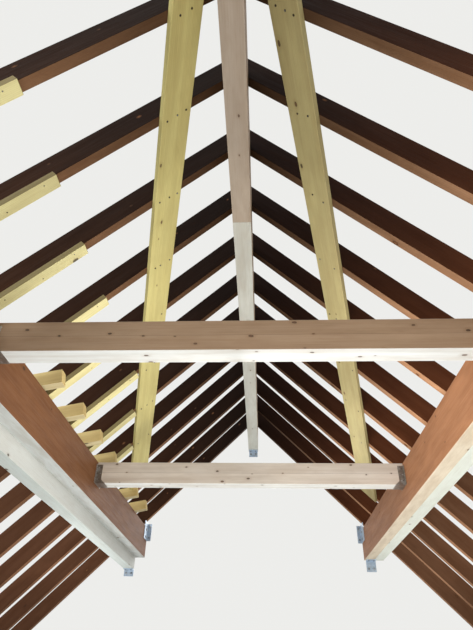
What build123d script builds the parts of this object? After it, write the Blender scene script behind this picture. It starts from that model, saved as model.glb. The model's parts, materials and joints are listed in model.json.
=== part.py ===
from build123d import *
from math import atan, cos, radians, sin, tan
import os

# A run of pitched timber roof: rafter pairs over a ridge beam and doubled purlins,
# two tie beams hung between the purlins in steel hangers, and a long flat brace
# under each slope.
# X runs across the roof, Y along the ridge with the gable end at +Y, and Z is up
# from the level cuts of the rafter feet. All sizes are in millimetres.

# Whole frame
frame_length = 5700
roof_pitch = 45
rafter_stock_length = 4200
rafter_pairs = 15
rafter_end_inset = 50

# Rafters
rafter_width = 45
rafter_depth = 120

# Ridge beam, butted end to end from two lengths
ridge_width = 100
ridge_depth = 320
ridge_gable_length = 3400

# Purlins, each of two plies bolted side by side
purlin_clear_width = 2104
ply_width = 90
inner_ply_depth = 265
inner_ply_seat = 22
outer_ply_seat = 7
left_outer_ply_depth = 265
right_outer_ply_depth = 160

# Tie beams, with the distance of their centre lines from the gable
tie_width = 100
tie_depth = 145
tie_near_setback = 3560
tie_far_setback = 1840

# Sheet steel hangers that carry the ties. The sides widen at the foot to meet a longer seat
hanger_steel = 2
hanger_side_reach = 39
hanger_seat_reach = 67
hanger_foot_height = 24
hanger_side_height = 127
hanger_flange_width = 24

# Braces, flat boards under the rafters. A centre line runs from its start, measured down
# the slope from the apex, to its foot, measured up the slope from the purlin
brace_width = 160
brace_thickness = 25
brace_right_start = 304
brace_left_start = 272
brace_start_setback = 4460
brace_right_foot_inset = 105
brace_left_foot_inset = 103
brace_top_rafter = 1
brace_foot_rafter = 12
brace_clearance = 10

# Packing battens under the left rafters
batten_width = 60
batten_thickness = 30
batten_offset = 15
batten_length = 559
batten_first_rafter = 3
batten_last_rafter = 10

# Joist ends that lie on the left purlin between the rafters
joist_width = 60
joist_depth = 80
joist_slope = 11
joist_reach = 96
joist_lift = 12
joist_offset = 133
joist_first_rafter = 7
joist_last_rafter = 13

# Steel angles that fasten the beams at the gable
angle_steel = 5
cleat_beam_leg = 150
cleat_gable_leg = 40
cleat_height = 160
cleat_rise = 45
seat_leg = 60
right_seat_gable_leg = 100
seat_width = 90
right_seat_inset = 14
bolt_hole_diameter = 11
cleat_hole_spacing = 100
cleat_beam_hole_spacing = 60
cleat_beam_hole_setback = 80
seat_hole_spacing = 50
seat_hole_edge = 27.5
seat_beam_hole_diameter = 9
seat_beam_hole_setback = 36

# Heights and places that follow from the sizes above
pitch = radians(roof_pitch)
rise = tan(pitch)
rafter_plumb_depth = rafter_depth / cos(pitch)
ridge_height = rafter_stock_length * sin(pitch)
apex = ridge_height - rafter_plumb_depth
gable_y = frame_length / 2
rafter_spacing = (frame_length - 2 * rafter_end_inset) / (rafter_pairs - 1)
purlin_inner_x = purlin_clear_width / 2
ply_joint_x = purlin_inner_x + ply_width
purlin_outer_x = ply_joint_x + ply_width
inner_ply_top = apex - (ply_joint_x - inner_ply_seat) * rise
inner_ply_bottom = inner_ply_top - inner_ply_depth
outer_ply_top = apex - (purlin_outer_x - outer_ply_seat) * rise
left_outer_ply_bottom = outer_ply_top - left_outer_ply_depth
right_outer_ply_bottom = outer_ply_top - right_outer_ply_depth
tie_bottom = inner_ply_top - tie_depth
ridge_bottom = apex - ridge_depth
ridge_joint_y = gable_y - ridge_gable_length
foot_inner_x = apex / rise
foot_outer_x = ridge_height / rise

sides = {"left": -1, "right": 1}


def rafter_y(index):
    """Centre line of a rafter pair, counted from the near end."""
    return (index - (rafter_pairs - 1) / 2) * rafter_spacing


def slope_plane(side):
    """Underside of the rafters, with x down the slope from the apex and y along the ridge."""
    return Plane(
        origin=(0, 0, apex),
        x_dir=(side * cos(pitch), 0, -sin(pitch)),
        z_dir=(sin(pitch), 0, side * cos(pitch)),
    )


def gable_face(x, z):
    """Face of the gable end, with x across the frame and y up, centred on a point of it."""
    return Plane(origin=(x, gable_y, z), x_dir=(-1, 0, 0), z_dir=(0, 1, 0))


def finish(piece, name):
    """Name a finished piece and write it."""
    piece.part.label = name
    export_step(piece.part, "parts/" + name + ".step")


os.makedirs("parts", exist_ok=True)

# Rafters: plumb cut at the apex, seated on the ridge and both plies, level cut at the foot
rafter_profile = [
    (0, apex),
    (ridge_width / 2, apex),
    (ridge_width / 2, apex - ridge_width / 2 * rise),
    (ply_joint_x - inner_ply_seat, inner_ply_top),
    (ply_joint_x, inner_ply_top),
    (ply_joint_x, apex - ply_joint_x * rise),
    (purlin_outer_x - outer_ply_seat, outer_ply_top),
    (purlin_outer_x, outer_ply_top),
    (purlin_outer_x, apex - purlin_outer_x * rise),
    (foot_inner_x, 0),
    (foot_outer_x, 0),
    (0, ridge_height),
]

for side_name, side in sides.items():
    for index in range(rafter_pairs):
        with BuildPart() as rafter:
            with BuildSketch(Plane.XZ.offset(-rafter_y(index))):
                with BuildLine():
                    Polyline(*[(side * x, z) for x, z in rafter_profile], close=True)
                make_face()
            extrude(amount=rafter_width / 2, both=True)
        finish(rafter, "rafter_%s_%02d" % (side_name, index + 1))

# Ridge beam in two lengths, meeting in a plain butt joint
with BuildPart() as ridge_beam_far:
    with BuildSketch(Plane.XY.offset(ridge_bottom)):
        with Locations((0, (ridge_joint_y + gable_y) / 2)):
            Rectangle(ridge_width, ridge_gable_length)
    extrude(amount=ridge_depth)
finish(ridge_beam_far, "ridge_beam_far")

with BuildPart() as ridge_beam_near:
    with BuildSketch(Plane.XY.offset(ridge_bottom)):
        with Locations((0, (ridge_joint_y - gable_y) / 2)):
            Rectangle(ridge_width, frame_length - ridge_gable_length)
    extrude(amount=ridge_depth)
finish(ridge_beam_near, "ridge_beam_near")

# Purlin plies: the left outer ply hangs lower, the right one is flush underneath
ply_sections = {
    "purlin_left_inner": (-(purlin_inner_x + ply_width / 2), inner_ply_bottom, inner_ply_depth),
    "purlin_left_outer": (-(ply_joint_x + ply_width / 2), left_outer_ply_bottom, left_outer_ply_depth),
    "purlin_right_inner": (purlin_inner_x + ply_width / 2, inner_ply_bottom, inner_ply_depth),
    "purlin_right_outer": (ply_joint_x + ply_width / 2, right_outer_ply_bottom, right_outer_ply_depth),
}
for name, (x, bottom, depth) in ply_sections.items():
    with BuildPart() as ply:
        with BuildSketch(Plane.XY.offset(bottom)):
            with Locations((x, 0)):
                Rectangle(ply_width, frame_length)
        extrude(amount=depth)
    finish(ply, name)

# Tie beams between the inner faces of the purlins, flush with their tops
tie_places = {"near": gable_y - tie_near_setback, "far": gable_y - tie_far_setback}
for place, y in tie_places.items():
    with BuildPart() as tie:
        with BuildSketch(Plane.XY.offset(tie_bottom)):
            with Locations((0, y)):
                Rectangle(purlin_clear_width, tie_width)
        extrude(amount=tie_depth)
    finish(tie, "tie_beam_" + place)

# Hangers: a folded strap under each end of a tie, with two flanges on the purlin
hanger_outside = tie_width + 2 * hanger_steel
hanger_height = hanger_side_height + hanger_steel
for place, y in tie_places.items():
    for side_name, side in sides.items():
        # Face of the purlin, with y upwards from the underside of the strap
        face = Plane(
            origin=(side * purlin_inner_x, y, tie_bottom - hanger_steel),
            x_dir=(0, -side, 0),
            z_dir=(-side, 0, 0),
        )
        with BuildPart() as hanger:
            with BuildSketch(face):
                with Locations((0, hanger_height / 2)):
                    Rectangle(hanger_outside, hanger_height)
                with Locations((0, hanger_steel + hanger_side_height / 2)):
                    Rectangle(tie_width, hanger_side_height, mode=Mode.SUBTRACT)
            extrude(amount=hanger_seat_reach)
            with BuildSketch(Plane(origin=face.origin, x_dir=face.z_dir, z_dir=-face.x_dir)):
                with BuildLine():
                    Polyline(
                        (hanger_seat_reach, hanger_steel),
                        (hanger_side_reach, hanger_steel + hanger_foot_height),
                        (hanger_side_reach, hanger_height),
                        (hanger_seat_reach, hanger_height),
                        close=True,
                    )
                make_face()
            extrude(amount=hanger_outside / 2, both=True, mode=Mode.SUBTRACT)
            with BuildSketch(face):
                with Locations((0, hanger_height / 2)):
                    Rectangle(hanger_outside + 2 * hanger_flange_width, hanger_height)
                    Rectangle(hanger_outside, hanger_height, mode=Mode.SUBTRACT)
            extrude(amount=hanger_steel)
        finish(hanger, "hanger_%s_%s" % (place, side_name))


# Braces: each ends on a rafter's centre line and stays clear of the beams beside it
joist_near_y = rafter_y(joist_last_rafter - 1) - joist_offset - joist_width / 2
brace_start_y = gable_y - brace_start_setback
brace_foot_y = rafter_y(brace_foot_rafter)
brace_feet = {"left": joist_near_y - brace_clearance, "right": brace_foot_y}
brace_top_y = rafter_y(brace_top_rafter)
ridge_side = ridge_width / 2 / cos(pitch) + brace_thickness * rise + brace_clearance
purlin_corner = purlin_inner_x * cos(pitch) + (apex - inner_ply_top) * sin(pitch)
purlin_side = purlin_corner - brace_clearance


def brace_drift(side):
    """How far a brace's centre line moves down the slope for each millimetre along the ridge."""
    start = brace_right_start if side > 0 else brace_left_start
    inset = brace_right_foot_inset if side > 0 else brace_left_foot_inset
    return (purlin_corner - inset - start) / (brace_foot_y - brace_start_y)


def brace_centre(side, y):
    """Distance of a brace's centre line down the slope from the apex, at a place along the ridge."""
    start = brace_right_start if side > 0 else brace_left_start
    return start + (y - brace_start_y) * brace_drift(side)


def brace_half(side):
    """Half the brace's width, measured straight down the slope."""
    return brace_width / 2 / cos(atan(brace_drift(side)))


for side_name, side in sides.items():
    foot_y = brace_feet[side_name]
    with BuildPart() as brace:
        with BuildSketch(slope_plane(side)):
            with BuildLine():
                Polyline(
                    (brace_centre(side, brace_top_y) - brace_half(side), brace_top_y),
                    (brace_centre(side, brace_top_y) + brace_half(side), brace_top_y),
                    (brace_centre(side, foot_y) + brace_half(side), foot_y),
                    (brace_centre(side, foot_y) - brace_half(side), foot_y),
                    close=True,
                )
            make_face()
            with Locations(((ridge_side + purlin_side) / 2, 0)):
                Rectangle(purlin_side - ridge_side, frame_length, mode=Mode.INTERSECT)
        extrude(amount=-side * brace_thickness)
    finish(brace, "brace_" + side_name)

# Packing battens under the left rafters, from a square top end down to a level cut on the purlin
seat_x = (apex - inner_ply_top) / rise
for index in range(batten_first_rafter, batten_last_rafter + 1):
    y = rafter_y(index) - batten_offset
    brace_edge = brace_centre(-1, y + batten_width / 2) + brace_half(-1)
    start = max(seat_x / cos(pitch) - batten_length, brace_edge + brace_clearance)
    top_x = start * cos(pitch)
    top_z = apex - start * sin(pitch)
    with BuildPart() as batten:
        with BuildSketch(Plane.XZ.offset(-y)):
            with BuildLine():
                Polyline(
                    (-top_x, top_z),
                    (-seat_x, inner_ply_top),
                    (-(seat_x - batten_thickness / sin(pitch)), inner_ply_top),
                    (-(top_x - batten_thickness * sin(pitch)), top_z - batten_thickness * cos(pitch)),
                    close=True,
                )
            make_face()
        extrude(amount=batten_width / 2, both=True)
    finish(batten, "packing_batten_%02d" % (index - batten_first_rafter + 1))

# Joist ends: gently sloping, notched to sit level on the inner ply of the left purlin
fall = tan(radians(joist_slope))
joist_plumb_depth = joist_depth / cos(radians(joist_slope))
joist_bottom_inner = inner_ply_top + joist_lift
joist_seat_x = purlin_inner_x + joist_lift / fall
joist_end_x = purlin_inner_x - joist_reach
joist_end_z = joist_bottom_inner + joist_reach * fall
joist_end_top_x = joist_end_x + joist_depth * sin(radians(joist_slope))
joist_end_top_z = joist_end_z + joist_depth * cos(radians(joist_slope))
joist_bottom_middle = joist_bottom_inner - ply_width * fall
joist_bottom_outer = joist_bottom_middle - ply_width * fall
with BuildPart() as joist_ends:
    for index in range(joist_first_rafter, joist_last_rafter + 1):
        with BuildSketch(Plane.XZ.offset(-(rafter_y(index) - joist_offset))):
            with BuildLine():
                Polyline(
                    (-joist_end_x, joist_end_z),
                    (-joist_seat_x, inner_ply_top),
                    (-ply_joint_x, inner_ply_top),
                    (-ply_joint_x, joist_bottom_middle),
                    (-purlin_outer_x, joist_bottom_outer),
                    (-purlin_outer_x, joist_bottom_outer + joist_plumb_depth),
                    (-joist_end_top_x, joist_end_top_z),
                    close=True,
                )
            make_face()
        extrude(amount=joist_width / 2, both=True)
finish(joist_ends, "joist_ends")

# Upright angle cleats on the inner faces of the purlins, bolted back to the gable
cleat_bottom = inner_ply_top + cleat_rise - cleat_height
cleat_hole_x = purlin_inner_x - angle_steel - (cleat_gable_leg - angle_steel) / 2
for side_name, side in sides.items():
    with BuildPart() as cleat:
        with BuildSketch(Plane.XY.offset(cleat_bottom)):
            with Locations((side * (purlin_inner_x - cleat_gable_leg / 2), gable_y - angle_steel / 2)):
                Rectangle(cleat_gable_leg, angle_steel)
            with Locations((side * (purlin_inner_x - angle_steel / 2), gable_y - cleat_beam_leg / 2)):
                Rectangle(angle_steel, cleat_beam_leg)
        extrude(amount=cleat_height)
        with BuildSketch(gable_face(side * cleat_hole_x, cleat_bottom + cleat_height / 2)):
            with GridLocations(0, cleat_hole_spacing, 1, 2):
                Circle(bolt_hole_diameter / 2)
        extrude(amount=-angle_steel, mode=Mode.SUBTRACT)
        with BuildSketch(Plane.YZ.offset(side * purlin_inner_x)):
            with Locations((gable_y - cleat_beam_hole_setback, (cleat_bottom + inner_ply_top) / 2)):
                with GridLocations(0, cleat_beam_hole_spacing, 1, 2):
                    Circle(bolt_hole_diameter / 2)
        extrude(amount=-side * angle_steel, mode=Mode.SUBTRACT)
    finish(cleat, "angle_cleat_" + side_name)

# Seat angles under the ends of the beams, with the lower leg bolted to the gable
seat_places = {
    "purlin_seat_left": (-(ply_joint_x + ply_width / 2), left_outer_ply_bottom),
    "purlin_seat_right": (purlin_inner_x + right_seat_inset + seat_width / 2, inner_ply_bottom),
    "ridge_seat": (0, ridge_bottom),
}
for name, (x, top) in seat_places.items():
    gable_leg = right_seat_gable_leg if name == "purlin_seat_right" else seat_leg
    with BuildPart() as seat:
        with BuildSketch(Plane.YZ.offset(x)):
            with Locations((gable_y - seat_leg / 2, top - angle_steel / 2)):
                Rectangle(seat_leg, angle_steel)
            with Locations((gable_y - angle_steel / 2, top - gable_leg / 2)):
                Rectangle(angle_steel, gable_leg)
        extrude(amount=seat_width / 2, both=True)
        with BuildSketch(gable_face(x, top - gable_leg + seat_hole_edge)):
            with GridLocations(seat_hole_spacing, 0, 2, 1):
                Circle(bolt_hole_diameter / 2)
        extrude(amount=-angle_steel, mode=Mode.SUBTRACT)
        with BuildSketch(Plane.XY.offset(top)):
            with Locations((x, gable_y - seat_beam_hole_setback)):
                with GridLocations(seat_hole_spacing, 0, 2, 1):
                    Circle(seat_beam_hole_diameter / 2)
        extrude(amount=-angle_steel, mode=Mode.SUBTRACT)
    finish(seat, name)
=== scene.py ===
import json
import math
import random

import bmesh
import bpy
from mathutils import Matrix, Vector


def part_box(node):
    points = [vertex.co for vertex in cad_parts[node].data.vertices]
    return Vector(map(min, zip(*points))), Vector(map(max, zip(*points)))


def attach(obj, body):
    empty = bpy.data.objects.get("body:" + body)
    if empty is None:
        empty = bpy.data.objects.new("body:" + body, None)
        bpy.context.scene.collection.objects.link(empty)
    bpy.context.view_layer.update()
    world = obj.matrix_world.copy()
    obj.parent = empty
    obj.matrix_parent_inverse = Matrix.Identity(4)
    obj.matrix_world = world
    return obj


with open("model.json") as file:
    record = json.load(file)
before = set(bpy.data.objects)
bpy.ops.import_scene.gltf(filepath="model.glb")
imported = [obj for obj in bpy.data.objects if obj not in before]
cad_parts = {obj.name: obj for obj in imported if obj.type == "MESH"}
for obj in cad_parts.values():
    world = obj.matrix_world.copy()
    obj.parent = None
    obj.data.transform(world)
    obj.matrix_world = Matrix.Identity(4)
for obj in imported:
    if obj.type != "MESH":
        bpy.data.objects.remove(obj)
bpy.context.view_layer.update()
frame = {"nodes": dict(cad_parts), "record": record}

bl_info = {
    "name": "Timber Roof Frame",
    "version": (1, 0, 0),
    "blender": (4, 5, 0),
    "location": "View3D > Sidebar > Roof Frame",
    "description": "Timber, steel and fixings for a pitched roof frame",
    "category": "Object",
}

BODY = "root"
SIDES = {"left": -1, "right": 1}
PLACES = ("near", "far")
MM = 0.001

# Slopes of the timbers in the frame
PITCH = math.radians(45)
BRACE_ANGLE = {"left": math.radians(17.82), "right": math.radians(17.34)}
JOIST_SLOPE = math.radians(11)


def display(red, green, blue):
    """A colour as a screen shows it, in the linear values that shaders use."""
    return tuple(v / 12.92 if v <= 0.04045 else ((v + 0.055) / 1.055) ** 2.4 for v in (red, green, blue))


def nodes_named(start):
    """The frame's nodes whose names begin so, in order."""
    return [name for name in sorted(frame["nodes"]) if name.startswith(start)]


def down_slope(side):
    """Unit vector down a slope from the ridge."""
    return Vector((side * math.cos(PITCH), 0, -math.sin(PITCH)))


def under_slope(side):
    """Unit vector square to a slope, pointing into the roof space."""
    return Vector((-side * math.sin(PITCH), 0, -math.cos(PITCH)))


def brace_direction(side_name):
    """Unit vector along a brace, towards the gable."""
    angle = BRACE_ANGLE[side_name]
    return down_slope(SIDES[side_name]) * math.sin(angle) + Vector((0, math.cos(angle), 0))


# Settings


def colour_setting(name, description, red, green, blue):
    """A colour, with its default as a screen shows it."""
    return bpy.props.FloatVectorProperty(
        name=name + " Colour", description=description, default=display(red, green, blue),
        subtype="COLOR", size=3, min=0, max=1,
    )


def length_setting(name, description, default):
    """A small length in metres."""
    return bpy.props.FloatProperty(
        name=name, description=description, default=default,
        unit="LENGTH", precision=4, min=0, soft_max=0.2,
    )


def share_setting(name, description, default):
    """A share from none to all."""
    return bpy.props.FloatProperty(
        name=name, description=description, default=default, subtype="FACTOR", min=0, max=1
    )


def angle_setting(name, description, degrees):
    """An angle in degrees."""
    return bpy.props.FloatProperty(
        name=name, description=description, default=math.radians(degrees), subtype="ANGLE"
    )


def piece_settings(kind, name, description):
    """The settings of one kind of piece."""
    return bpy.props.PointerProperty(type=kind, name=name, description=description)


class TimberFinish:
    """Settings that every kind of timber has."""

    knot_share: share_setting("Knots", "Share of places with a knot", 0.40)
    knot_radius: length_setting("Knot Radius", "Radius of a large knot", 0.010)
    knot_spacing: length_setting("Knot Spacing", "Between places for a knot", 0.16)
    ring_spacing: length_setting("Ring Spacing", "Width of one year's growth", 0.004)
    streaks: share_setting("Streaks", "Long dark streaks", 0.35)
    stains: share_setting("Stains", "Broad pale stains", 0.30)
    blotches: share_setting("Blotches", "Small dark patches", 0.22)
    arris: length_setting("Arris", "Rounding of the long edges", 0.002)


class RafterSettings(TimberFinish, bpy.types.PropertyGroup):
    """Brown sawn rafters."""

    # Side and under colours of each slope: the darker upright faces are partly painted shade, the paler
    # undersides partly painted light from below; the right slope is paler than the left, partly painted
    # light.
    side: colour_setting("Left Side", "Upright faces of the left slope", 0.235, 0.142, 0.084)
    under: colour_setting("Left Under", "Lower faces of the left slope", 0.653, 0.489, 0.361)
    right_side: colour_setting("Right Side", "Upright faces of the right slope", 0.393, 0.227, 0.138)
    right_under: colour_setting("Right Under", "Lower faces of the right slope", 0.79, 0.605, 0.46)
    stains: share_setting("Stains", "Broad pale stains", 0.55)
    blotches: share_setting("Blotches", "Small dark patches", 0.35)
    # Painted shade: from a set height up to the ridge the rafters grow darker, down to the share of light
    # left at the ridge; below the purlins the paler foot colours are painted light of the lamps there.
    aged_low: length_setting("Painted Shade From", "Height below which the timber is not darkened", 1.7)
    foot: colour_setting("Left Foot", "Left timber below the purlins", 0.32, 0.21, 0.145)
    right_foot: colour_setting("Right Foot", "Right timber below the purlins", 0.41, 0.285, 0.205)
    aged_shade: share_setting("Left Painted Ridge Shade", "Light left at the ridge, left slope", 0.15)
    right_aged_shade: share_setting("Right Painted Ridge Shade", "Light left at the ridge, right slope", 0.07)


class RidgeSettings(TimberFinish, bpy.types.PropertyGroup):
    """Laminated ridge beam in two lengths."""

    # The paler undersides are partly painted light from below.
    side: colour_setting("Side", "Upright faces", 0.62, 0.53, 0.43)
    under: colour_setting("Near Under", "Underside of the near length", 0.679, 0.623, 0.558)
    far_under: colour_setting("Far Under", "Underside of the far length", 0.777, 0.782, 0.749)
    streaks: share_setting("Streaks", "Long dark streaks", 0.12)
    knot_radius: length_setting("Knot Radius", "Radius of a large knot", 0.008)
    lamination: length_setting("Lamination", "Thickness of one glued board", 0.040)


class PurlinSettings(TimberFinish, bpy.types.PropertyGroup):
    """Doubled purlins."""

    streaks: share_setting("Streaks", "Long dark streaks", 0.15)
    blotches: share_setting("Blotches", "Small dark patches", 0.38)
    outer_calm: share_setting("Outer Calm", "Share of streaks and patches on the outer plies", 0.35)
    # The grey-white undersides are partly painted light from below, the brown upright faces partly painted
    # shade.
    side: colour_setting("Left Face", "Upright faces of the left inner ply", 0.470, 0.305, 0.172)
    under: colour_setting("Left Under", "Underside of the left inner ply", 0.757, 0.773, 0.766)
    right_side: colour_setting("Right Face", "Upright faces of the right inner ply", 0.648, 0.455, 0.317)
    right_under: colour_setting("Right Under", "Underside of the right inner ply", 0.817, 0.77, 0.684)
    outer_side: colour_setting("Outer Face", "Upright faces of the outer plies", 0.816, 0.827, 0.806)
    right_outer_under: colour_setting("Right Outer", "Underside of the right outer ply", 0.83, 0.85, 0.81)
    outer_under: colour_setting("Left Outer", "Underside of the left outer ply", 0.80, 0.834, 0.82)


class TieSettings(TimberFinish, bpy.types.PropertyGroup):
    """Tie beams between the purlins."""

    # The near-white undersides are partly painted light from below.
    side: colour_setting("Near Side", "Upright faces of the near tie", 0.652, 0.550, 0.443)
    far_side: colour_setting("Far Side", "Upright faces of the far tie", 0.842, 0.804, 0.756)
    under: colour_setting("Under", "Faces that look down", 0.86, 0.87, 0.86)
    knot_share: share_setting("Knots", "Share of places with a knot", 0.75)
    knot_radius: length_setting("Knot Radius", "Radius of a large knot", 0.0068)
    knot_spacing: length_setting("Knot Spacing", "Between places for a knot", 0.10)
    lamination: length_setting("Lamination", "Thickness of one glued board", 0.0725)


class BraceSettings(TimberFinish, bpy.types.PropertyGroup):
    """Flat treated boards under the rafters."""

    # The lower faces are paler than the edges and the right board darker than the left: partly the boards'
    # own tone, partly painted light and painted shade.
    side: colour_setting("Left Edge", "Edges of the left board", 0.58, 0.55, 0.38)
    under: colour_setting("Left Face", "Lower face of the left board", 0.802, 0.763, 0.507)
    right_side: colour_setting("Right Edge", "Edges of the right board", 0.56, 0.53, 0.35)
    right_under: colour_setting("Right Face", "Lower face of the right board", 0.683, 0.636, 0.449)
    knot_share: share_setting("Knots", "Share of places with a knot", 0.45)
    knot_radius: length_setting("Knot Radius", "Radius of a large knot", 0.008)
    streaks: share_setting("Streaks", "Long dark streaks", 0.25)
    screw_radius: length_setting("Screw Radius", "Radius of a screw head", 0.005)


class BattenSettings(TimberFinish, bpy.types.PropertyGroup):
    """Pale packing battens under the left rafters."""

    side: colour_setting("Side", "Upright faces", 0.495, 0.446, 0.279)
    under: colour_setting("Under", "Faces that look down", 0.876, 0.843, 0.619)
    streaks: share_setting("Streaks", "Long dark streaks", 0.20)
    nail_radius: length_setting("Nail Radius", "Radius of a nail head", 0.003)


class JoistSettings(TimberFinish, bpy.types.PropertyGroup):
    """Golden joist ends on the left purlin."""

    side: colour_setting("Side", "Upright faces", 0.842, 0.756, 0.516)
    under: colour_setting("Under", "Faces that look down", 0.80, 0.76, 0.60)


class HangerSettings(bpy.types.PropertyGroup):
    """Galvanised hangers and their nails."""

    # Warm grey: the zinc's own grey with a painted reflection of the brown timber round it.
    zinc_and_reflection_colour: colour_setting("Sheet", "Colour of the dull zinc", 0.503, 0.467, 0.429)
    nail_colour: colour_setting("Nail", "Colour of the nail heads", 0.62, 0.62, 0.60)
    nail_radius: length_setting("Nail Radius", "Radius of a nail head", 0.0042)
    hole_radius: length_setting("Hole Radius", "Radius of an empty nail hole", 0.0025)
    side_reach: length_setting("Side Reach", "How far a side plate reaches along the tie", 0.039)
    nail_rows: bpy.props.IntProperty(
        name="Nail Rows", description="Rows of holes up each flange", default=6, min=1, max=12
    )


class AngleSettings(bpy.types.PropertyGroup):
    """Zinc plated angles and their bolts."""

    steel_colour: colour_setting("Steel", "Colour of the bright zinc", 0.689, 0.76, 0.833)
    bolt_colour: colour_setting("Bolt", "Colour of the bolts and washers", 0.60, 0.63, 0.66)
    bolt_across_flats: length_setting("Across Flats", "Width of a bolt head across its flats", 0.017)
    washer_radius: length_setting("Washer Radius", "Outer radius of a washer", 0.0105)
    steel: length_setting("Steel", "Thickness of the angles", 0.005)
    cleat_screw_setback: length_setting("Cleat Screw Setback", "From the gable to a cleat's screws", 0.080)
    cleat_screw_spacing: length_setting("Cleat Screw Spacing", "Between a cleat's two screws", 0.060)
    seat_screw_setback: length_setting("Seat Screw Setback", "From the gable to a seat's screws", 0.036)
    screw_across_flats: length_setting("Screw Across Flats", "Width of a seat screw's head", 0.013)


class StageSettings(bpy.types.PropertyGroup):
    """Floor, light and camera."""

    floor_colour: colour_setting("Floor", "Colour of the floor", 0.90, 0.90, 0.89)
    backdrop_colour: colour_setting("Backdrop", "Colour behind the object", 0.93, 0.93, 0.92)
    focal_pixels: bpy.props.FloatProperty(
        name="Focal Length", description="In pixels of a frame 630 pixels high", default=519.5, min=100
    )
    camera_place: bpy.props.FloatVectorProperty(
        name="Camera Place", description="Where the camera stands", default=(0.102, -2.560, 0.420),
        subtype="TRANSLATION", unit="LENGTH", size=3,
    )
    camera_pitch: angle_setting("Camera Pitch", "How far the camera looks up", 35.55)
    camera_yaw: angle_setting("Camera Yaw", "How far it looks to the right of the ridge", -3.39)
    camera_roll: angle_setting("Camera Roll", "How far the camera leans", -1.40)


class RoofFrameSettings(bpy.types.PropertyGroup):
    """All settings of the roof frame."""

    rafters: piece_settings(RafterSettings, "Rafters", "Rafters of both slopes")
    ridge: piece_settings(RidgeSettings, "Ridge", "Both lengths of the ridge beam")
    purlins: piece_settings(PurlinSettings, "Purlins", "Plies of both purlins")
    ties: piece_settings(TieSettings, "Ties", "Tie beams between the purlins")
    braces: piece_settings(BraceSettings, "Braces", "Flat boards under the rafters")
    battens: piece_settings(BattenSettings, "Battens", "Packing battens under the left rafters")
    joists: piece_settings(JoistSettings, "Joists", "Joist ends on the left purlin")
    hangers: piece_settings(HangerSettings, "Hangers", "Hangers of the tie beams")
    angles: piece_settings(AngleSettings, "Angles", "Steel angles at the gable")
    stage: piece_settings(StageSettings, "Stage", "Floor, light and camera")


# Node trees


class Tree:
    """A node tree with short calls that add a node and join it up."""

    def __init__(self, tree):
        self.tree = tree

    def add(self, kind, inputs=None, **settings):
        """A new shader node; its inputs are given by name or number, as sockets or values."""
        node = self.tree.nodes.new("ShaderNode" + kind)
        for key, value in settings.items():
            setattr(node, key, value)
        for key, value in (inputs or {}).items():
            self.put(node.inputs[key], value)
        return node

    def put(self, socket, value):
        """Joins a socket to another, or sets its value."""
        if isinstance(value, bpy.types.NodeSocket):
            self.tree.links.new(value, socket)
        elif socket.type == "RGBA":
            socket.default_value = (*value[:3], 1)
        else:
            socket.default_value = value

    def math(self, operation, *values, clamp=False):
        """Output of a Math node."""
        node = self.add("Math", dict(enumerate(values)), operation=operation, use_clamp=clamp)
        return node.outputs[0]

    def times(self, *values, clamp=False):
        """The first value times the second, plus the third where there is one."""
        return self.math("MULTIPLY_ADD" if len(values) == 3 else "MULTIPLY", *values, clamp=clamp)

    def vector_math(self, operation, *values):
        """Vector output of a Vector Math node."""
        return self.add("VectorMath", dict(enumerate(values)), operation=operation).outputs["Vector"]

    def stretch(self, vector, factors):
        """A vector with each of its parts scaled."""
        return self.vector_math("MULTIPLY", vector, factors)

    def dot(self, one, other):
        """How far one vector reaches along another."""
        return self.add("VectorMath", {0: one, 1: other}, operation="DOT_PRODUCT").outputs["Value"]

    def split(self, vector):
        """The parts of a vector, by their letters."""
        return self.add("SeparateXYZ", {0: vector}).outputs

    def join(self, x, y, z=0.0):
        """A vector made of its parts."""
        return self.add("CombineXYZ", {"X": x, "Y": y, "Z": z}).outputs[0]

    def place(self):
        """The place on the object."""
        return self.add("TexCoord").outputs["Object"]

    def normal(self):
        """The way that the face looks."""
        return self.add("NewGeometry").outputs["True Normal"]

    def facing(self, direction):
        """How squarely the face looks along a direction, either way."""
        return self.math("ABSOLUTE", self.dot(self.normal(), direction))

    def smooth(self, value, low, high, to_low=0.0, to_high=1.0):
        """A value eased from one range to another."""
        node = self.add(
            "MapRange",
            {"Value": value, "From Min": low, "From Max": high, "To Min": to_low, "To Max": to_high},
            interpolation_type="SMOOTHSTEP",
        )
        return node.outputs["Result"]

    def noise(self, vector, scale, detail=2.0, roughness=0.5):
        """Outputs of a Noise Texture node."""
        inputs = {"Vector": vector, "Scale": scale, "Detail": detail, "Roughness": roughness}
        return self.add("TexNoise", inputs).outputs

    def mix(self, base, colour, factor, blend="MIX"):
        """One colour laid over another."""
        inputs = {0: factor, 6: base, 7: colour}
        return self.add("Mix", inputs, data_type="RGBA", blend_type=blend).outputs[2]

    def group(self, name, **inputs):
        """Outputs of a node group; words joined by underscores stand for its inputs."""
        node = self.add("Group", node_tree=bpy.data.node_groups[name])
        for key, value in inputs.items():
            self.put(node.inputs[key.replace("_", " ").title()], value)
        return node.outputs


def new_group(name, inputs, values=(), vectors=()):
    """An empty shader node group: the defaults of its inputs, and its outputs by kind."""
    tree = bpy.data.node_groups.new(name, "ShaderNodeTree")
    for label, default in inputs.items():
        kind = "Vector" if isinstance(default, tuple) else "Float"
        socket = tree.interface.new_socket(name=label, in_out="INPUT", socket_type="NodeSocket" + kind)
        socket.default_value = default
    for kind, labels in (("Float", values), ("Vector", vectors)):
        for label in labels:
            tree.interface.new_socket(name=label, in_out="OUTPUT", socket_type="NodeSocket" + kind)
    start = tree.nodes.new("NodeGroupInput")
    end = tree.nodes.new("NodeGroupOutput")
    return Tree(tree), start.outputs, end.inputs


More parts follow.
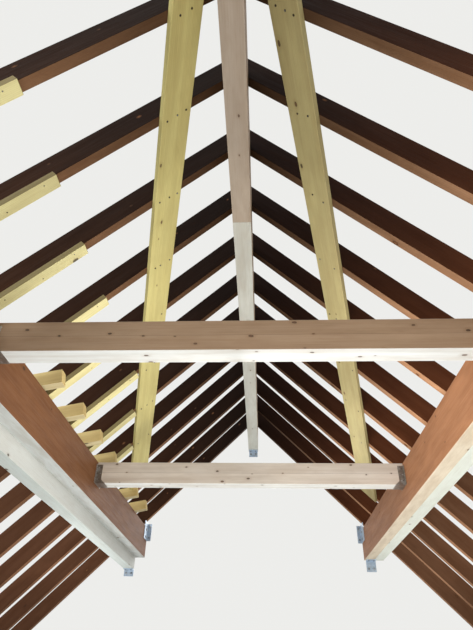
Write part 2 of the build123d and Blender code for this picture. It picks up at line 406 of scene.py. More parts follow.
def build_timber_axes():
    """A place in the timber's own axes, with x along the grain, and one laid flat on each face."""
    inputs = {"Along": (0, 1, 0), "Across": (1, 0, 0), "Piece": 0.5}
    tree, given, out = new_group("Timber Axes", inputs, vectors=("Vector", "Flat"))
    piece_shift = 9.0
    face_shift = 3.7
    place = tree.place()
    deep = tree.dot(place, tree.vector_math("CROSS_PRODUCT", given["Along"], given["Across"]))
    shifted = tree.times(given["Piece"], piece_shift, tree.dot(place, given["Along"]))
    across = tree.dot(place, given["Across"])
    tree.put(out["Vector"], tree.join(shifted, across, deep))
    turned = tree.math("GREATER_THAN", tree.facing(given["Across"]), 0.6)
    over = tree.times(turned, tree.math("SUBTRACT", deep, across), across)
    apart = tree.times(turned, face_shift, shifted)
    tree.put(out["Flat"], tree.join(apart, over))


def build_timber_figure():
    """Growth rings, fine fibres and long streaks of sawn softwood."""
    inputs = {"Vector": (0, 0, 0), "Piece": 0.5, "Ring Spacing": 0.004, "Bend": 0.0}
    tree, given, out = new_group("Timber Figure", inputs, ("Rings", "Fibre", "Streak"))
    vector = given["Vector"]
    heart_depth = 0.16
    sway_reach = 0.016
    ring_bend = 2.5
    slow = tree.stretch(vector, (0.7, 5.0, 5.0))
    sway = tree.vector_math("SUBTRACT", tree.noise(slow, 1.0)["Color"], (0.5, 0.5, 0.5))
    swayed = tree.vector_math("ADD", vector, tree.stretch(sway, (0, sway_reach, sway_reach)))
    parts = tree.split(swayed)
    across = tree.math("ADD", parts["Y"], tree.times(given["Piece"], 0.12, -0.06))
    deep = tree.math("ADD", parts["Z"], heart_depth)
    radius = tree.math("SQRT", tree.math("ADD", tree.times(across, across), tree.times(deep, deep)))
    count = tree.math("DIVIDE", radius, given["Ring Spacing"])
    year = tree.math("FRACT", tree.times(given["Bend"], ring_bend, count))
    tree.put(out["Rings"], tree.times(tree.math("POWER", year, 2.5), tree.smooth(year, 1.0, 0.9)))
    fine = tree.stretch(vector, (5.0, 260.0, 260.0))
    tree.put(out["Fibre"], tree.noise(fine, 1.0, 3.0, 0.6)[0])
    broad = tree.stretch(swayed, (0.9, 26.0, 26.0))
    tree.put(out["Streak"], tree.smooth(tree.noise(broad, 1.0)[0], 0.35, 0.68))


def build_knots():
    """Scattered knots, drawn out along the grain: a heart, its dark rim and the bent grain round it."""
    inputs = {"Flat": (0, 0, 0), "Spacing": 0.16, "Radius": 0.010, "Share": 0.4}
    tree, given, out = new_group("Knots", inputs, ("Heart", "Rim", "Halo", "Chance"))
    drawn_out = (0.55, 1.0, 0.0)
    ragged = tree.stretch(tree.noise(given["Flat"], 70.0)["Color"], (0.006, 0.004, 0))
    shaken = tree.stretch(tree.vector_math("ADD", given["Flat"], ragged), drawn_out)
    cells = tree.vector_math("DIVIDE", shaken, tree.join(given["Spacing"], given["Spacing"], 1.0))
    voronoi = tree.add("TexVoronoi", {"Vector": cells, "Scale": 1.0}, voronoi_dimensions="2D")
    chance = tree.add("SeparateColor", {0: voronoi.outputs["Color"]}).outputs
    away = tree.times(voronoi.outputs["Distance"], given["Spacing"])
    grown = tree.times(chance["Red"], 0.7, 0.35)
    ratio = tree.math("DIVIDE", away, tree.times(given["Radius"], grown))
    present = tree.math("LESS_THAN", chance["Green"], given["Share"])
    tree.put(out["Heart"], tree.times(tree.smooth(ratio, 1.0, 0.75), present))
    tree.put(out["Rim"], tree.smooth(ratio, 0.2, 0.7))
    tree.put(out["Halo"], tree.times(tree.smooth(ratio, 2.8, 0.9), present))
    tree.put(out["Chance"], chance["Blue"])


def build_glue_lines():
    """Boards of a laminated beam: the thin line between two and a value for each."""
    inputs = {"Height": 0.0, "Board": 0.04, "Base": 0.0}
    tree, given, out = new_group("Glue Lines", inputs, ("Line", "Shade"))
    half_line = 0.8 * MM
    level = tree.math("DIVIDE", tree.math("SUBTRACT", given["Height"], given["Base"]), given["Board"])
    nearest = tree.math("ABSOLUTE", tree.math("SUBTRACT", level, tree.math("ROUND", level)))
    distance = tree.times(nearest, given["Board"])
    tree.put(out["Line"], tree.math("LESS_THAN", distance, half_line))
    shade = tree.add("TexWhiteNoise", {"W": tree.math("FLOOR", level)}, noise_dimensions="1D")
    tree.put(out["Shade"], shade.outputs["Value"])


def build_weathering():
    """Broad paler stains, smaller dark blotches and small scuffs."""
    tree, given, out = new_group("Weathering", {"Vector": (0, 0, 0)}, ("Stain", "Blotch", "Scuff"))
    stain_size = 0.28
    wide = tree.stretch(given["Vector"], (0.6, 2.0, 2.0))
    stains = tree.noise(wide, 1 / stain_size, 4.0, 0.65)[0]
    tree.put(out["Stain"], tree.smooth(stains, 0.42, 0.72))
    blotched = tree.stretch(given["Vector"], (4.0, 17.0, 17.0))
    tree.put(out["Blotch"], tree.smooth(tree.noise(blotched, 1.0, 3.0, 0.6)[0], 0.40, 0.66))
    scratched = tree.stretch(given["Vector"], (12.0, 60.0, 60.0))
    tree.put(out["Scuff"], tree.smooth(tree.noise(scratched, 1.0, 4.0, 0.7)[0], 0.60, 0.72))


def build_painted_height_light():
    """Painted shade by height: the share of light left, less with height, and where the foot begins, whose
    paler colour is painted light.
    """
    inputs = {"Height": 0.0, "Low": 0.0, "High": 1.0, "Left": 0.1}
    tree, given, out = new_group("Painted Height Light", inputs, ("Shade", "Foot"))
    foot_starts, foot_full = 0.02, -0.20
    above = tree.math("SUBTRACT", given["Height"], given["Low"])
    rise = tree.math("DIVIDE", above, tree.math("SUBTRACT", given["High"], given["Low"]), clamp=True)
    tree.put(out["Shade"], tree.math("POWER", given["Left"], rise))
    tree.put(out["Foot"], tree.smooth(above, foot_starts, foot_full))


def build_faces():
    """Which way a face looks: down, up, or along the grain as a cut end does."""
    tree, given, out = new_group("Faces", {"Along": (0, 1, 0)}, ("Under", "Top", "End"))
    height = tree.split(tree.normal())["Z"]
    tree.put(out["Under"], tree.smooth(height, -0.25, -0.62))
    tree.put(out["Top"], tree.smooth(height, 0.25, 0.62))
    tree.put(out["End"], tree.smooth(tree.facing(given["Along"]), 0.55, 0.68))


def build_arris_wear():
    """Where a surface turns an edge, and is rubbed."""
    tree, given, out = new_group("Arris Wear", {"Radius": 0.004}, ("Wear",))
    rounded = tree.add("Bevel", {"Radius": given["Radius"]}, samples=4).outputs[0]
    tree.put(out["Wear"], tree.smooth(tree.dot(rounded, tree.normal()), 0.995, 0.90))


def build_zinc():
    """The crystals and the dull bloom of a zinc coating."""
    tree, given, out = new_group("Zinc", {"Vector": (0, 0, 0), "Crystal": 0.008}, ("Spangle", "Bloom"))
    vector = given["Vector"]
    scale = tree.math("DIVIDE", 1.0, given["Crystal"])
    cells = tree.add("TexVoronoi", {"Vector": vector, "Scale": scale})
    tree.put(out["Spangle"], tree.add("SeparateColor", {0: cells.outputs["Color"]}).outputs["Red"])
    tree.put(out["Bloom"], tree.smooth(tree.noise(vector, 28.0, 4.0, 0.65)[0], 0.45, 0.70))


def build_groups():
    """Builds each shared node group once."""
    build_timber_axes()
    build_timber_figure()
    build_knots()
    build_glue_lines()
    build_weathering()
    build_painted_height_light()
    build_faces()
    build_arris_wear()
    build_zinc()


# Materials


def new_material(name, specular):
    """A material with its shader, ready for colours."""
    material = bpy.data.materials.new(name)
    material.use_nodes = True
    tree = Tree(material.node_tree)
    shader = material.node_tree.nodes["Principled BSDF"]
    shader.inputs["Specular IOR Level"].default_value = specular
    return material, tree, shader


def timber_material(
    name, finish, along, across, side=None, under=None, boards=None, aged=None, specular=0.30, calm=1.0
):
    """Sawn or planed timber. boards is (thickness, lowest height) for a laminated beam.

    The argument for painted light by height is (lowest height, highest height, share of light left at the
    top, foot colour): painted shade that darkens the timber upwards, and a paler foot colour, painted
    light.
    calm below 1 takes that share of the streaks, stains and blotches, for smooth pale timber.
    """
    material, tree, shader = new_material(name, specular)
    piece = tree.add("ObjectInfo").outputs["Random"]
    axes = tree.group("Timber Axes", along=along, across=across, piece=piece)
    knots = tree.group(
        "Knots", flat=axes["Flat"],
        spacing=finish.knot_spacing, radius=finish.knot_radius, share=finish.knot_share,
    )
    figure = tree.group(
        "Timber Figure", vector=axes["Vector"], piece=piece,
        ring_spacing=finish.ring_spacing, bend=knots["Halo"],
    )
    weather = tree.group("Weathering", vector=axes["Vector"])
    faces = tree.group("Faces", along=along)
    wear = tree.group("Arris Wear")[0]
    height = tree.split(tree.place())["Z"]

    # Painted light and shade by facing: faces that look down take the paler under colour and upright faces
    # the darker side colour, partly the timber's own tone, partly painted light from below and painted
    # shade on the uprights.
    looks_down = tree.times(faces["Top"], 0.5, faces["Under"])
    colour = tree.mix(tuple(side or finish.side), tuple(under or finish.under), looks_down)
    shade = tree.times(piece, 0.16, 0.92)
    # Painted shade: darker towards the top, except on faces that look up; painted light: the paler foot
    # colour low down, mostly on the upright faces.
    if aged:
        low, high, left, foot = aged
        light_by_height = tree.group("Painted Height Light", height=height, low=low, high=high, left=left)
        shade = tree.times(shade, tree.math("MAXIMUM", light_by_height["Shade"], faces["Top"]))
        upright = tree.times(faces["Under"], -0.38, 1.0)
        colour = tree.mix(colour, tuple(foot), tree.times(light_by_height["Foot"], upright))
    if boards:
        thickness, base = boards
        glue = tree.group("Glue Lines", height=height, board=thickness, base=base)
        shade = tree.times(shade, tree.times(glue["Shade"], 0.12, 0.93))
    grey = tree.add("CombineColor", {0: shade, 1: shade, 2: shade}).outputs[0]
    colour = tree.mix(colour, grey, 1.0, "MULTIPLY")
    darker = tree.mix(colour, (0.60, 0.50, 0.40), 1.0, "MULTIPLY")
    paler = tree.mix(colour, (1.30, 1.28, 1.24), 1.0, "MULTIPLY")
    layers = (
        (darker, tree.times(figure["Streak"], calm * finish.streaks)),
        (paler, tree.times(weather["Stain"], calm * finish.stains)),
        (darker, tree.times(weather["Blotch"], calm * finish.blotches)),
        (darker, tree.times(weather["Scuff"], 0.15)),
        (darker, tree.times(figure["Rings"], 0.28)),
        (darker, tree.smooth(figure["Fibre"], 0.45, 0.75, 0.0, 0.20)),
        (paler, tree.times(wear, 0.6)),
        (darker, tree.times(faces["End"], 0.25)),
        (darker, tree.times(knots["Halo"], 0.30)),
    )
    for layer, amount in layers:
        colour = tree.mix(colour, layer, amount)
    brown, dark, rim = display(0.46, 0.30, 0.19), display(0.20, 0.14, 0.10), display(0.14, 0.10, 0.07)
    heart = tree.mix(tree.mix(brown, dark, knots["Chance"]), rim, tree.times(knots["Rim"], 0.7))
    colour = tree.mix(colour, heart, tree.times(knots["Heart"], 0.85))
    if boards:
        seam = tree.times(glue["Line"], tree.math("SUBTRACT", 1.0, faces["Under"]))
        colour = tree.mix(colour, display(0.33, 0.24, 0.17), tree.times(seam, 0.5))
    tree.put(shader.inputs["Base Color"], colour)

    rough = tree.smooth(figure["Fibre"], 0.3, 0.7, 0.58, 0.80)
    tree.put(shader.inputs["Roughness"], tree.times(faces["End"], 0.1, rough, clamp=True))
    grain = tree.times(figure["Rings"], -0.35, figure["Fibre"])
    relief = tree.times(knots["Heart"], -0.6, grain)
    bump = tree.add("Bump", {"Strength": 0.35, "Distance": 0.0012, "Height": relief})
    tree.put(shader.inputs["Normal"], bump.outputs[0])
    return material


def zinc_material(name, colour, roughness, crystal=0.008, metallic=0.7):
    """Zinc coated steel."""
    material, tree, shader = new_material(name, 0.5)
    shader.inputs["Metallic"].default_value = metallic
    zinc = tree.group("Zinc", vector=tree.place(), crystal=crystal)
    wear = tree.group("Arris Wear", radius=0.0015)[0]
    colour = tuple(colour)
    dull = tuple(v * 0.72 for v in colour)
    bright = tuple(min(1, v * 1.25) for v in colour)
    base = tree.mix(dull, bright, zinc["Spangle"])
    base = tree.mix(colour, base, 0.45)
    base = tree.mix(base, display(0.80, 0.81, 0.80), tree.times(zinc["Bloom"], 0.35))
    base = tree.mix(base, bright, tree.times(wear, 0.6))
    tree.put(shader.inputs["Base Color"], base)
    rough = tree.times(zinc["Bloom"], 0.25, roughness)
    tree.put(shader.inputs["Roughness"], tree.times(zinc["Spangle"], -0.1, rough, clamp=True))
    bump = tree.add("Bump", {"Strength": 0.15, "Distance": 0.0004, "Height": zinc["Spangle"]})
    tree.put(shader.inputs["Normal"], bump.outputs[0])
    return material


def matt_material(name, specular, roughness, one, other, scale, detail=2.0):
    """A matt surface, mottled with two close tones."""
    material, tree, shader = new_material(name, specular)
    mottle = tree.noise(tree.place(), scale, detail)[0]
    tree.put(shader.inputs["Base Color"], tree.mix(one, other, mottle))
    shader.inputs["Roughness"].default_value = roughness
    return material


# Shapes


def dress(name, material, arris):
    """Gives a node its material and rounds its edges."""
    node = frame["nodes"][name]
    node.data.materials.clear()
    node.data.materials.append(material)
    weld = node.modifiers.new("Weld", "WELD")
    weld.merge_threshold = 0.00002
    flat = node.modifiers.new("Flat faces", "DECIMATE")
    flat.decimate_type = "DISSOLVE"
    flat.angle_limit = math.radians(1)
    edges = node.modifiers.new("Arris", "BEVEL")
    edges.width = arris
    edges.segments = 2
    edges.limit_method = "ANGLE"
    edges.angle_limit = math.radians(30)


def dress_timber(name, finish, *facts, **more):
    """Gives a timber_material to every node whose name begins so."""
    material = timber_material(name, finish, *facts, **more)
    for node in nodes_named(name):
        dress(node, material, finish.arris)


def corners_of(name):
    """The corners of a node's mesh."""
    return [v.co for v in frame["nodes"][name].data.vertices]


def lathe_rings(mesh, point, normal, rings, sides, twist=0.0):
    """A closed turned shape on a surface, from rings given as (radius, height)."""
    turn = Vector((0, 0, 1)).rotation_difference(Vector(normal)).to_matrix().to_4x4()
    place = Matrix.Translation(point) @ turn @ Matrix.Rotation(twist, 4, "Z")
    loops = []
    for radius, height in rings:
        angles = [2 * math.pi * step / sides for step in range(sides)]
        points = [Vector((radius * math.cos(a), radius * math.sin(a), height)) for a in angles]
        loops.append([mesh.verts.new(place @ p) for p in points])
    for low, high in zip(loops, loops[1:]):
        for step in range(sides):
            after = (step + 1) % sides
            mesh.faces.new((low[step], low[after], high[after], high[step]))
    mesh.faces.new(list(reversed(loops[0])))
    mesh.faces.new(loops[-1])


def add_head(mesh, point, normal, radius):
    """A low domed nail or screw head."""
    profile = ((1.0, 0.0), (1.0, 0.18), (0.85, 0.36), (0.45, 0.46))
    lathe_rings(mesh, point, normal, [(radius * out, radius * up) for out, up in profile], 12)


def add_bolt(mesh, point, normal, across_flats, washer_radius, twist):
    """A washer with a hexagon head on it."""
    washer = 2.0 * MM
    corner = across_flats / math.sqrt(3)
    top = washer + 0.42 * across_flats
    disc = [(washer_radius, 0.0), (washer_radius, 0.8 * washer), (0.94 * washer_radius, washer)]
    lathe_rings(mesh, point, normal, disc, 20, twist)
    head = [(corner, washer), (corner, 0.88 * top), (0.86 * corner, top)]
    lathe_rings(mesh, point, normal, head, 6, twist)


def add_disc(mesh, point, normal, radius):
    """A flat disc just proud of a surface."""
    lathe_rings(mesh, point, normal, [(radius, 0.0), (radius, 0.1 * MM)], 12)


def new_object(name, data):
    """A new object in the scene."""
    item = bpy.data.objects.new(name, data)
    bpy.context.scene.collection.objects.link(item)
    return item


def mesh_object(mesh, name, material):
    """Turns loose geometry into an object."""
    data = bpy.data.meshes.new(name)
    mesh.to_mesh(data)
    mesh.free()
    data.materials.append(material)
    return new_object(name, data)


def finish_mesh(mesh, name, material):
    """Turns loose geometry into a named piece that rides on the frame."""
    bmesh.ops.recalc_face_normals(mesh, faces=mesh.faces)
    piece = mesh_object(mesh, name, material)
    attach(piece, BODY)


# Operators


class PieceTool:
    """What each tool does: its own work, with the settings that bear its name."""

    def execute(self, context):
        piece = type(self).bl_idname.split(".")[1]
        self.work(getattr(context.scene.roof_frame, piece))
        return {"FINISHED"}


class ROOF_OT_rafters(PieceTool, bpy.types.Operator):
    """Finish the rafters of both slopes"""

    bl_idname = "roof_frame.rafters"
    bl_label = "Rafters"

    def work(self, finish):
        ridge_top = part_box("ridge_beam_near")[1].z
        looks = {
            "left": (finish.side, finish.under, finish.aged_shade, finish.foot),
            "right": (finish.right_side, finish.right_under, finish.right_aged_shade, finish.right_foot),
        }
        for side_name, side in SIDES.items():
            upright, under, shade, foot = looks[side_name]
            # Painted shade towards the ridge and painted light on the foot, for each slope.
            aged = (finish.aged_low, ridge_top, shade, foot)
            facts = (down_slope(side), (0, 1, 0), upright, under)
            dress_timber("rafter_" + side_name, finish, *facts, aged=aged, specular=0.05)


class ROOF_OT_ridge(PieceTool, bpy.types.Operator):
    """Finish the two lengths of the ridge beam"""

    bl_idname = "roof_frame.ridge"
    bl_label = "Ridge Beam"

    def work(self, finish):
        boards = (finish.lamination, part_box("ridge_beam_near")[0].z)
        for place, under in zip(PLACES, (finish.under, finish.far_under)):
            name = "ridge_beam_" + place
            dress_timber(name, finish, (0, 1, 0), (1, 0, 0), under=under, boards=boards)


class ROOF_OT_purlins(PieceTool, bpy.types.Operator):
    """Finish the plies of both purlins"""

    bl_idname = "roof_frame.purlins"
    bl_label = "Purlins"

    def work(self, finish):
        looks = {
            "left_inner": (finish.side, finish.under, 1.0),
            "right_inner": (finish.right_side, finish.right_under, 1.0),
            "left_outer": (finish.outer_side, finish.outer_under, finish.outer_calm),
            "right_outer": (finish.outer_side, finish.right_outer_under, finish.outer_calm),
        }
        for ply, (side, under, calm) in looks.items():
            dress_timber("purlin_" + ply, finish, (0, 1, 0), (0, 0, 1), side, under, calm=calm)


class ROOF_OT_ties(PieceTool, bpy.types.Operator):
    """Finish the tie beams"""

    bl_idname = "roof_frame.ties"
    bl_label = "Tie Beams"

    def work(self, finish):
        boards = (finish.lamination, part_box("tie_beam_near")[0].z)
        for place, side in zip(PLACES, (finish.side, finish.far_side)):
            dress_timber("tie_beam_" + place, finish, (1, 0, 0), (0, 0, 1), side, boards=boards)


class ROOF_OT_braces(PieceTool, bpy.types.Operator):
    """Finish the braces and screw them to the rafters"""

    bl_idname = "roof_frame.braces"
    bl_label = "Braces"

    def work(self, finish):
        steel = zinc_material("brace_screw_steel", display(0.25, 0.22, 0.17), 0.5)
        colours = {"left": (finish.side, finish.under), "right": (finish.right_side, finish.right_under)}
        for side_name, side in SIDES.items():
            name = "brace_" + side_name
            along = brace_direction(side_name)
            dress_timber(name, finish, along, under_slope(side), *colours[side_name])
            self.screw(name, side_name, finish, steel)

    def screw(self, name, side_name, finish, steel):
        """Two or three screws, set by eye, wherever the board crosses a rafter."""
        low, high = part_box(name)
        down, under = down_slope(SIDES[side_name]), under_slope(SIDES[side_name])
        angle = BRACE_ANGLE[side_name]
        square = down * math.cos(angle) - Vector((0, math.sin(angle), 0))
        face = max(c.dot(under) for c in corners_of(name))
        edges = [c.dot(square) for c in corners_of(name)]
        centre = (min(edges) + max(edges)) / 2
        mesh = bmesh.new()
        chance = random.Random(name)
        end_margin = 0.05
        reach = 0.05
        for rafter in nodes_named("rafter_" + side_name):
            y = sum(corner.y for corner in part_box(rafter)) / 2
            if not low.y + end_margin < y < high.y - end_margin:
                continue
            middle = (centre + y * math.sin(angle)) / math.cos(angle)
            tilt = chance.uniform(-0.012, 0.012)
            for step in chance.choice(((-1, 0, 1), (-1, 1), (-0.6, 0.8))):
                along_slope = middle + step * reach + chance.uniform(-0.008, 0.008)
                point = down * along_slope + under * face + Vector((0, y + step * tilt, 0))
                add_head(mesh, point, under, finish.screw_radius)
        finish_mesh(mesh, name + "_screws", steel)


class ROOF_OT_battens(PieceTool, bpy.types.Operator):
    """Finish the packing battens and nail them up"""

    bl_idname = "roof_frame.battens"
    bl_label = "Packing Battens"

    def work(self, finish):
        steel = zinc_material("batten_nail_steel", display(0.36, 0.33, 0.24), 0.6)
        down, under = down_slope(-1), under_slope(-1)
        dress_timber("packing_batten", finish, down, (0, 1, 0))
        mesh = bmesh.new()
        for name in nodes_named("packing_batten"):
            low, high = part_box(name)
            corners = corners_of(name)
            face = max(c.dot(under) for c in corners)
            on_face = [c.dot(down) for c in corners if c.dot(under) > face - MM]
            y = (low.y + high.y) / 2
            for share, across in ((0.12, -0.012), (0.45, 0.010), (0.80, -0.008)):
                along = min(on_face) + share * (max(on_face) - min(on_face))
                point = down * along + under * face + Vector((0, y + across, 0))
                add_head(mesh, point, under, finish.nail_radius)
        finish_mesh(mesh, "packing_batten_nails", steel)


class ROOF_OT_joists(PieceTool, bpy.types.Operator):
    """Finish the joist ends on the left purlin"""

    bl_idname = "roof_frame.joists"
    bl_label = "Joist Ends"

    def work(self, finish):
        along = (-math.cos(JOIST_SLOPE), 0, -math.sin(JOIST_SLOPE))
        dress_timber("joist_end", finish, along, (0, 1, 0))


class ROOF_OT_hangers(PieceTool, bpy.types.Operator):
    """Finish the hangers, with their nails and empty holes"""

    bl_idname = "roof_frame.hangers"
    bl_label = "Hangers"

    def work(self, finish):
        sheet = zinc_material("hanger_sheet", finish.zinc_and_reflection_colour, 0.42, 0.010)
        steel = zinc_material("hanger_nail_steel", finish.nail_colour, 0.40)
        # Near-black discs stand for the empty nail holes: painted shade in each hole, mottled between two
        # dark tones.
        dark, hole_shade_tone = (0.012, 0.010, 0.009), (0.035, 0.028, 0.022)
        hole = matt_material("hole_dark", 0.1, 0.9, dark, hole_shade_tone, 300.0)
        for place in PLACES:
            for side_name, side in SIDES.items():
                name = "hanger_%s_%s" % (place, side_name)
                dress(name, sheet, 0.4 * MM)
                nails, holes = bmesh.new(), bmesh.new()
                self.punch(name, place, side, finish, nails, holes)
                finish_mesh(nails, name + "_nails", steel)
                finish_mesh(holes, name + "_holes", hole)

    def punch(self, name, place, side, finish, nails, holes):
        """Nails in every other hole of the flanges, and three through each side plate."""
        low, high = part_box(name)
        tie_low, tie_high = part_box("tie_beam_" + place)
        thick = tie_low.z - low.z
        outer_x = high.x if side > 0 else low.x
        face_x = outer_x - side * thick
        flange_width = tie_low.y - low.y - thick
        rows = finish.nail_rows
        margin = 14 * MM
        step = (high.z - low.z - 2 * margin) / (rows - 1)
        for edge, inward in ((low.y, 1), (high.y, -1)):
            for row in range(rows):
                for column in (0, 1):
                    y = edge + inward * flange_width * (0.28 + 0.42 * column)
                    z = low.z + margin + step * (row - 0.2 + 0.4 * column)
                    point = Vector((face_x, y, z))
                    if (row + column) % 2:
                        add_head(nails, point, (-side, 0, 0), finish.nail_radius)
                    else:
                        add_disc(holes, point, (-side, 0, 0), finish.hole_radius)
        reach = finish.side_reach
        middle_x = outer_x - side * reach / 2
        for y, out in ((tie_low.y - thick, -1), (tie_high.y + thick, 1)):
            for row in range(rows // 2):
                z = low.z + (row + 0.7) * (high.z - low.z) / (rows // 2 + 0.2)
                shift = (0.22 if row % 2 else -0.18) * reach
                add_head(nails, Vector((middle_x + shift, y, z)), (0, out, 0), finish.nail_radius)
                add_disc(holes, Vector((middle_x - shift, y, z)), (0, out, 0), finish.hole_radius)


class ROOF_OT_angles(PieceTool, bpy.types.Operator):
    """Finish the steel angles at the gable and bolt them"""

    bl_idname = "roof_frame.angles"
    bl_label = "Steel Angles"

    def work(self, finish):
        steel = zinc_material("angle_steel", finish.steel_colour, 0.40, 0.006, metallic=0.4)
        bolt = zinc_material("angle_bolt_steel", finish.bolt_colour, 0.32, 0.004)
        for side_name, side in SIDES.items():
            name = "angle_cleat_" + side_name
            dress(name, steel, 0.8 * MM)
            self.bolt_cleat(name, side, finish, bolt)
        for name in ("purlin_seat_left", "purlin_seat_right", "ridge_seat"):
            dress(name, steel, 0.8 * MM)
            self.bolt_seat(name, finish, bolt)

    def gable_holes(self, node):
        """The holes that the record gives for an angle."""
        low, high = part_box(node)
        for mount in frame["record"]["mounts"]:
            place = Vector(mount["pos_m"])
            inside = low.x < place.x < high.x and low.z < place.z < high.z
            if mount["kind"] != "bolt_pattern" or not inside:
                continue
            across = mount["dims"].get("spacing_x_mm", 0) * MM / 2
            up = mount["dims"].get("spacing_y_mm", 0) * MM / 2
            return [place + Vector((sign * across, 0, sign * up)) for sign in (-1, 1)]
        raise RuntimeError("no bolt holes are given for " + node)

    def bolt_gable(self, mesh, name, finish, twist):
        """A bolt through each hole of the gable leg."""
        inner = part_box(name)[1].y - finish.steel
        holes = self.gable_holes(name)
        for index, hole in enumerate(holes):
            point = Vector((hole.x, inner, hole.z))
            add_bolt(mesh, point, (0, -1, 0), finish.bolt_across_flats, finish.washer_radius, twist * index)
        return holes

    def bolt_cleat(self, name, side, finish, material):
        """The gable bolts, and two more into the side of the purlin."""
        low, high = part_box(name)
        mesh = bmesh.new()
        self.bolt_gable(mesh, name, finish, 0.4)
        face_x = (high.x if side > 0 else low.x) - side * finish.steel
        middle = (low.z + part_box("purlin_left_inner")[1].z) / 2
        for index, sign in enumerate((-1, 1)):
            z = middle + sign * finish.cleat_screw_spacing / 2
            point = Vector((face_x, high.y - finish.cleat_screw_setback, z))
            twist = 0.7 * index
            add_bolt(mesh, point, (-side, 0, 0), finish.bolt_across_flats, finish.washer_radius, twist)
        finish_mesh(mesh, name + "_bolts", material)

    def bolt_seat(self, name, finish, material):
        """The gable bolts, and as many screws up into the beam."""
        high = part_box(name)[1]
        mesh = bmesh.new()
        for hole in self.bolt_gable(mesh, name, finish, 0.5):
            screw = Vector((hole.x, high.y - finish.seat_screw_setback, high.z - finish.steel))
            width = finish.screw_across_flats
            add_bolt(mesh, screw, (0, 0, -1), width, 0.6 * width, 0.2)
        finish_mesh(mesh, name + "_bolts", material)


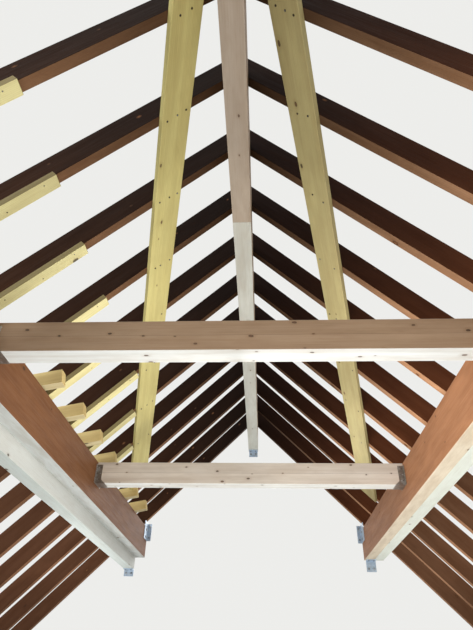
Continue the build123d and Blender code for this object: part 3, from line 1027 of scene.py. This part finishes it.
class ROOF_OT_stage(PieceTool, bpy.types.Operator):
    """Set up the floor, the light and the camera"""

    bl_idname = "roof_frame.stage"
    bl_label = "Stage"

    def work(self, settings):
        floor = bmesh.new()
        bmesh.ops.create_circle(floor, cap_ends=True, segments=96, radius=40)
        tone = tuple(settings.floor_colour)
        darker = tuple(v * 0.96 for v in tone)
        material = matt_material("stage_floor", 0.2, 0.85, tone, darker, 3.0, 3.0)
        mesh_object(floor, "stage_floor", material)
        self.light_world(settings)
        self.hang_lamps()
        self.place_camera(settings)
        bpy.context.scene.view_settings.view_transform = "Standard"

    def light_world(self, settings):
        """Soft light from all sides, behind a plain backdrop."""
        world = bpy.data.worlds.new("soft_studio")
        world.use_nodes = True
        bpy.context.scene.world = world
        tree = Tree(world.node_tree)
        world.node_tree.nodes.clear()
        glow = tree.add("Background", {"Color": (0.96, 0.98, 1.0), "Strength": 0.60})
        plain = tree.add("Background", {"Color": tuple(settings.backdrop_colour), "Strength": 1.0})
        path = tree.add("LightPath").outputs
        seen = tree.math("MAXIMUM", path["Is Camera Ray"], path["Is Glossy Ray"])
        shown = tree.add("MixShader", {0: seen, 1: glow.outputs[0], 2: plain.outputs[0]})
        tree.add("OutputWorld", {"Surface": shown.outputs[0]})

    def hang_lamps(self):
        """Large soft lamps, and small ones under and inside the frame."""
        lamps = {
            "key": ((-3.75, -9.75, 6.15), (0, 0, 1.2), (7.5, 7.5), 1010),
            "back": ((2.0, 8.5, 4.0), (0, 0, 1.2), (5.0, 4.0), 200),
            "top": ((0, 0.5, 8.0), (0, 0, 0), (6.0, 6.0), 90),
            "bounce_near": ((0.35, -1.3, 0.06), (0.35, -1.3, 2), (2.1, 1.8), 10),
            "bounce_middle": ((0.35, 0.4, 0.06), (0.35, 0.4, 2), (2.1, 1.4), 25),
            "left_strip": ((-1.35, 1.9, 0.9), (-1.35, 1.9, 2), (0.3, 1.8), 3.8),
            "right_strip": ((1.35, 2.1, 0.9), (1.35, 2.1, 2), (0.3, 1.4), 2.5),
            "far_right": ((0.62, 1.35, 1.72), (0.62, 1.35, 2.2), (0.2, 1.2), 2.7),
            "left_face": ((0, -0.3, 1.45), (-1, -0.3, 1.5), (0.4, 0.4), 5),
            "right_face": ((0, -0.3, 1.4), (1, -0.3, 1.45), (0.4, 0.4), 7.5),
        }
        for name, (place, target, size, power) in lamps.items():
            data = bpy.data.lights.new(name, "AREA")
            data.shape = "RECTANGLE"
            data.size, data.size_y = size
            data.energy = power
            lamp = new_object(name, data)
            lamp.location = place
            straight_up = place[:2] == target[:2]
            turn = (Vector(target) - Vector(place)).to_track_quat("-Z", "Y").to_euler()
            lamp.rotation_euler = (math.pi, 0, 0) if straight_up else turn
            lamp.visible_camera = False

    def place_camera(self, settings):
        """The camera at the photo's angle."""
        frame_height = 630
        sensor = 24
        data = bpy.data.cameras.new("camera")
        data.sensor_fit = "VERTICAL"
        data.sensor_height = sensor
        data.lens = settings.focal_pixels / frame_height * sensor
        data.clip_start = 0.02
        pitch, yaw, roll = settings.camera_pitch, settings.camera_yaw, settings.camera_roll
        ahead = Vector((math.sin(yaw) * math.cos(pitch), math.cos(yaw) * math.cos(pitch), math.sin(pitch)))
        level = Vector((math.cos(yaw), -math.sin(yaw), 0))
        above = level.cross(ahead)
        right = level * math.cos(roll) - above * math.sin(roll)
        up = level * math.sin(roll) + above * math.cos(roll)
        turn = Matrix((right, up, -ahead)).transposed().to_4x4()
        camera = new_object("camera", data)
        camera.matrix_world = Matrix.Translation(settings.camera_place) @ turn
        bpy.context.scene.camera = camera


class ROOF_PT_panel(bpy.types.Panel):
    """Roof frame tools"""

    bl_idname = "ROOF_PT_panel"
    bl_label = "Timber Roof Frame"
    bl_space_type = "VIEW_3D"
    bl_region_type = "UI"
    bl_category = "Roof Frame"

    def draw(self, context):
        for operator in OPERATORS:
            self.layout.operator(operator.bl_idname)


SETTINGS = (
    RafterSettings, RidgeSettings, PurlinSettings, TieSettings, BraceSettings, BattenSettings,
    JoistSettings, HangerSettings, AngleSettings, StageSettings, RoofFrameSettings,
)

OPERATORS = (
    ROOF_OT_rafters, ROOF_OT_ridge, ROOF_OT_purlins, ROOF_OT_ties, ROOF_OT_braces, ROOF_OT_battens,
    ROOF_OT_joists, ROOF_OT_hangers, ROOF_OT_angles, ROOF_OT_stage,
)


def register():
    for item in SETTINGS + OPERATORS + (ROOF_PT_panel,):
        bpy.utils.register_class(item)
    bpy.types.Scene.roof_frame = piece_settings(RoofFrameSettings, "Roof Frame", "All of its settings")


def unregister():
    del bpy.types.Scene.roof_frame
    for item in reversed(SETTINGS + OPERATORS + (ROOF_PT_panel,)):
        bpy.utils.unregister_class(item)


def main():
    """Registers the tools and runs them."""
    register()
    build_groups()
    bpy.ops.roof_frame.rafters()
    bpy.ops.roof_frame.ridge()
    bpy.ops.roof_frame.purlins()
    bpy.ops.roof_frame.ties()
    bpy.ops.roof_frame.braces()
    bpy.ops.roof_frame.battens()
    bpy.ops.roof_frame.joists()
    bpy.ops.roof_frame.hangers()
    bpy.ops.roof_frame.angles()
    bpy.ops.roof_frame.stage()


if __name__ == "__main__":
    main()
